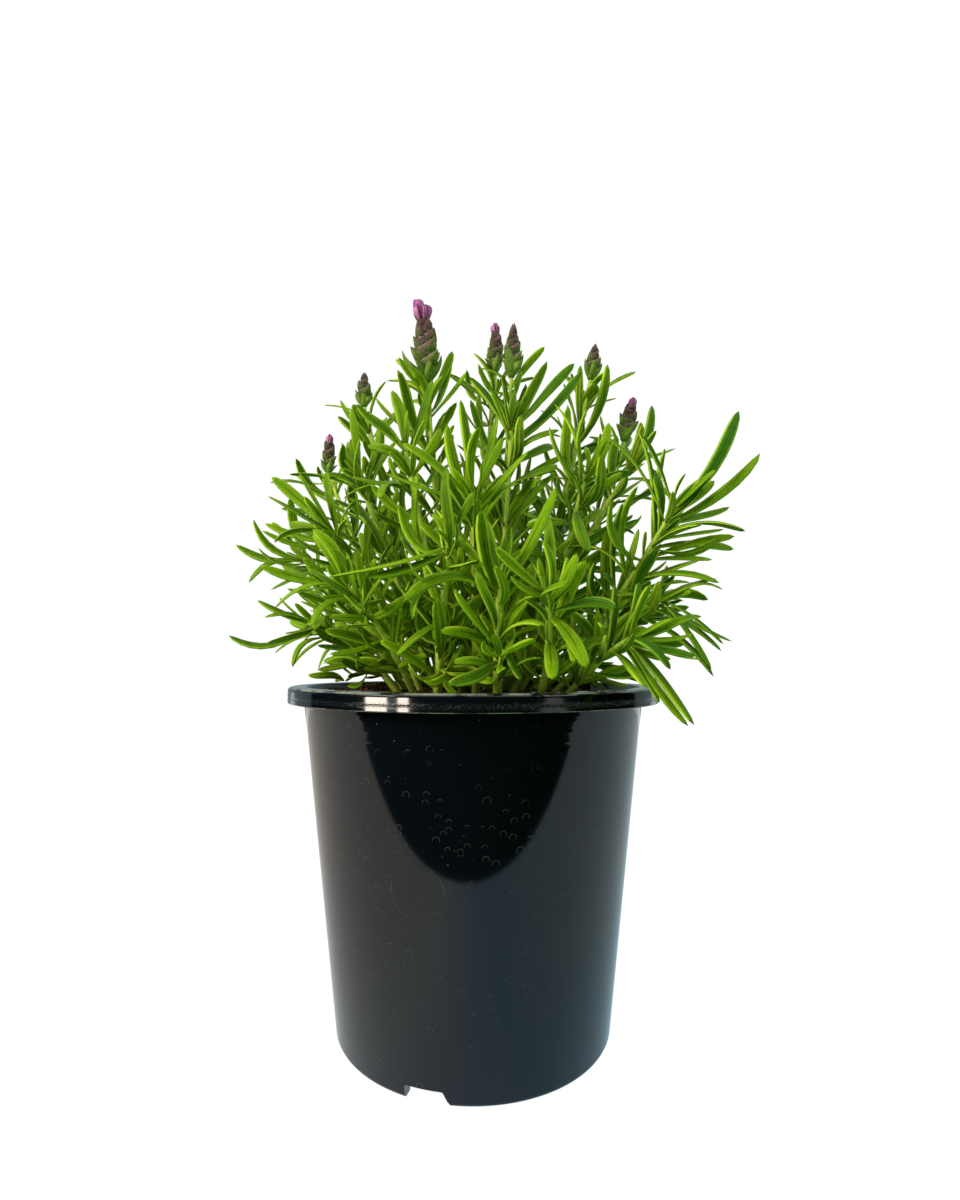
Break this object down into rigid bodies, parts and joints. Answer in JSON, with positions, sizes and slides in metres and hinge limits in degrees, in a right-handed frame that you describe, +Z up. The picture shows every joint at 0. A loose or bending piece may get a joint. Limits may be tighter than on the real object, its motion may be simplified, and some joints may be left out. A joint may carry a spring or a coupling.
{
  "type": "potted lavender",
  "caption": "Young bushy lavender in bud, with narrow leaves and bracted flower spikes, growing in a black nursery pot.",
  "frame": {"origin": "on the ground, at the centre of the pot's flat base", "axes": "+Z up; the side with the nearest whorl of leaves faces -Y; +X to the right seen from there"},
  "size_m": [0.186, 0.16, 0.2764],
  "materials": {
    "pot": "gloss",
    "soil": "matte",
    "leaf": "satin",
    "bract": "matte",
    "petal": "satin"
  },
  "bodies": {
    "root": {"pot": "pot", "soil": "soil", "shoot_front": "leaf", "shoot_front_right": "leaf", "shoot_front_left": "leaf", "shoot_rim_right": "leaf", "shoot_right_low": "leaf", "shoot_right_outer": "leaf", "shoot_right_mid": "leaf", "shoot_right_high": "leaf", "shoot_centre_right": "leaf", "shoot_centre_front": "leaf", "shoot_centre_left": "leaf", "shoot_left_high": "leaf", "shoot_left_mid": "leaf", "shoot_left_low": "leaf", "shoot_left_outer": "leaf", "shoot_left_creep": "leaf", "shoot_spike_1": "leaf", "shoot_spike_2": "leaf", "shoot_spike_3": "leaf", "shoot_spike_4": "leaf", "shoot_spike_5": "leaf", "shoot_spike_6": "leaf", "shoot_spike_7": "leaf", "shoot_back_1": "leaf", "shoot_back_2": "leaf", "shoot_back_3": "leaf", "shoot_back_4": "leaf", "shoot_back_5": "leaf", "shoot_back_6": "leaf", "shoot_back_7": "leaf", "shoot_back_8": "leaf", "shoot_back_9": "leaf", "shoot_back_10": "leaf", "spike_1": "bract", "spike_2": "bract", "spike_3": "bract", "spike_4": "bract", "spike_5": "bract", "spike_6": "bract", "spike_7": "bract", "petals_1": "petal", "petals_2": "petal", "petals_5": "petal", "petals_7": "petal"}
  },
  "joints": []
}
